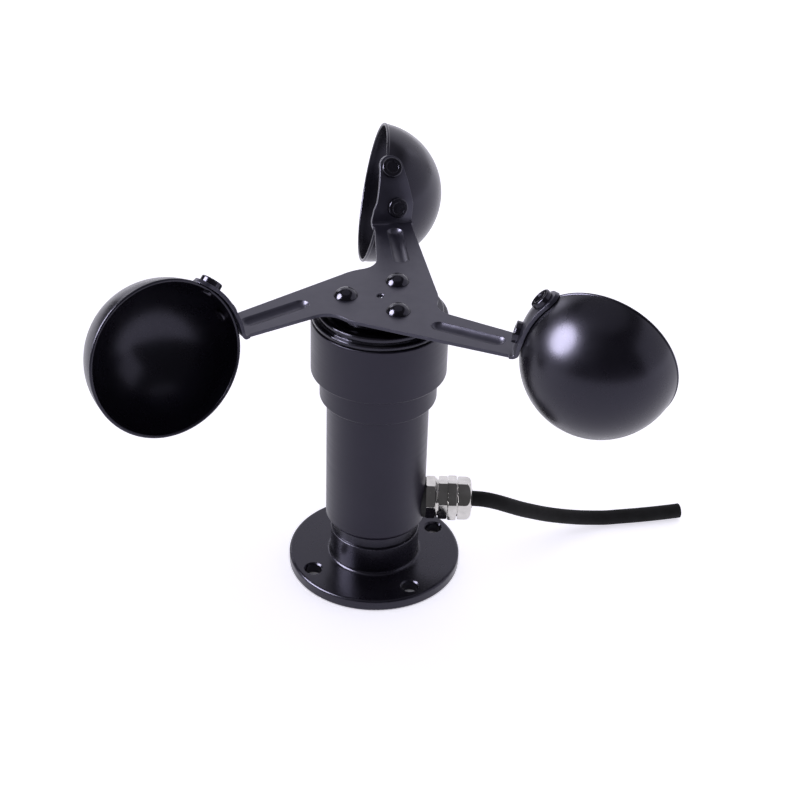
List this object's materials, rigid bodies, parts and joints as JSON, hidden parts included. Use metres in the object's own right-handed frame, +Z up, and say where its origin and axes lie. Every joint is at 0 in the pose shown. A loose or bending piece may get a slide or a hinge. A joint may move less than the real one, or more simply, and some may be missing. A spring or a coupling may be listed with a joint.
{
  "type": "cup anemometer",
  "caption": "Wind speed sensor: three hemispherical cups on a pressed sheet spider turn on a flanged tubular body with a screwed cable gland and a short lead.",
  "frame": {"origin": "centre of the base's flat underside, on the rotor axis", "axes": "+Z up along the rotor axis; +X towards the side where the cable gland and the lead leave the body; +Y completes the right-handed frame"},
  "size_m": [0.2171, 0.1726, 0.1413],
  "materials": {
    "base_black": "gloss black anodised, sharp reflections",
    "body_grey": "satin dark grey anodised, fine turning marks",
    "hub_black": "gloss black anodised, turned steps",
    "spider_black": "satin black stove enamel on pressed sheet",
    "rivet_black": "gloss black",
    "cup_black": "gloss black lacquer inside and out",
    "seal_rubber": "matt black nitrile",
    "nickel": "bright nickel plate on brass",
    "lead_jacket": "matt black PVC",
    "core_insulation": "smooth coloured PVC",
    "bearing_steel": "ground and polished",
    "cage_brass": "pressed, lightly oiled",
    "plain_steel": "bright, machined",
    "spring_steel": "phosphated spring steel",
    "disc_steel": "etched thin sheet",
    "disc_hub_alloy": "machined",
    "sensor_black": "moulded, matt",
    "board_green": "solder mask over glass laminate",
    "component_black": "moulded packages",
    "terminal_green": "moulded",
    "standoff_brass": "turned hexagon bar"
  },
  "bodies": {
    "stator": {"base_flange": "base_black", "base_o_ring": "seal_rubber", "body_tube": "body_grey", "bearing_housing": "body_grey", "housing_o_ring": "seal_rubber", "upper_bearing_outer_race": "bearing_steel", "lower_bearing_outer_race": "bearing_steel", "weather_seal": "seal_rubber", "housing_circlip": "spring_steel", "optical_sensor": "sensor_black", "circuit_board": "board_green", "board_components": "component_black", "terminal_block": "terminal_green", "board_standoffs": "standoff_brass", "board_screws": "plain_steel", "gland_gasket": "seal_rubber", "gland_locknut": "nickel", "gland_body": "nickel", "gland_seal": "seal_rubber", "gland_dome_nut": "nickel", "lead": "lead_jacket", "lead_cores": "core_insulation"},
    "rotor": {"upper_bearing_inner_race": "bearing_steel", "lower_bearing_inner_race": "bearing_steel", "bearing_spacer": "plain_steel", "shaft_clip": "spring_steel", "rotor_shaft": "plain_steel", "code_disc": "disc_steel", "code_disc_hub": "disc_hub_alloy", "code_disc_set_screw": "spring_steel", "rotor_hub": "hub_black", "cup_spider": "spider_black", "hub_rivets": "rivet_black", "rear_cup": "cup_black", "left_cup": "cup_black", "right_cup": "cup_black", "cup_rivets": "rivet_black"},
    "upper_ball_set": {"upper_bearing_cage": "cage_brass", "upper_bearing_balls": "bearing_steel"},
    "lower_ball_set": {"lower_bearing_cage": "cage_brass", "lower_bearing_balls": "bearing_steel"}
  },
  "joints": [
    {"name": "rotor_spin", "type": "hinge", "parent": "stator", "child": "rotor", "pos_m": [0, 0, 0.1], "axis": [0, 0, 1], "continuous": true},
    {"name": "upper_ball_set_spin", "type": "hinge", "parent": "stator", "child": "upper_ball_set", "pos_m": [0, 0, 0.1], "axis": [0, 0, 1], "continuous": true},
    {"name": "lower_ball_set_spin", "type": "hinge", "parent": "stator", "child": "lower_ball_set", "pos_m": [0, 0, 0.0715], "axis": [0, 0, 1], "continuous": true}
  ],
  "couplings": [
    {"joint": "upper_ball_set_spin", "follows": "rotor_spin", "ratio": 0.368},
    {"joint": "lower_ball_set_spin", "follows": "rotor_spin", "ratio": 0.368}
  ]
}
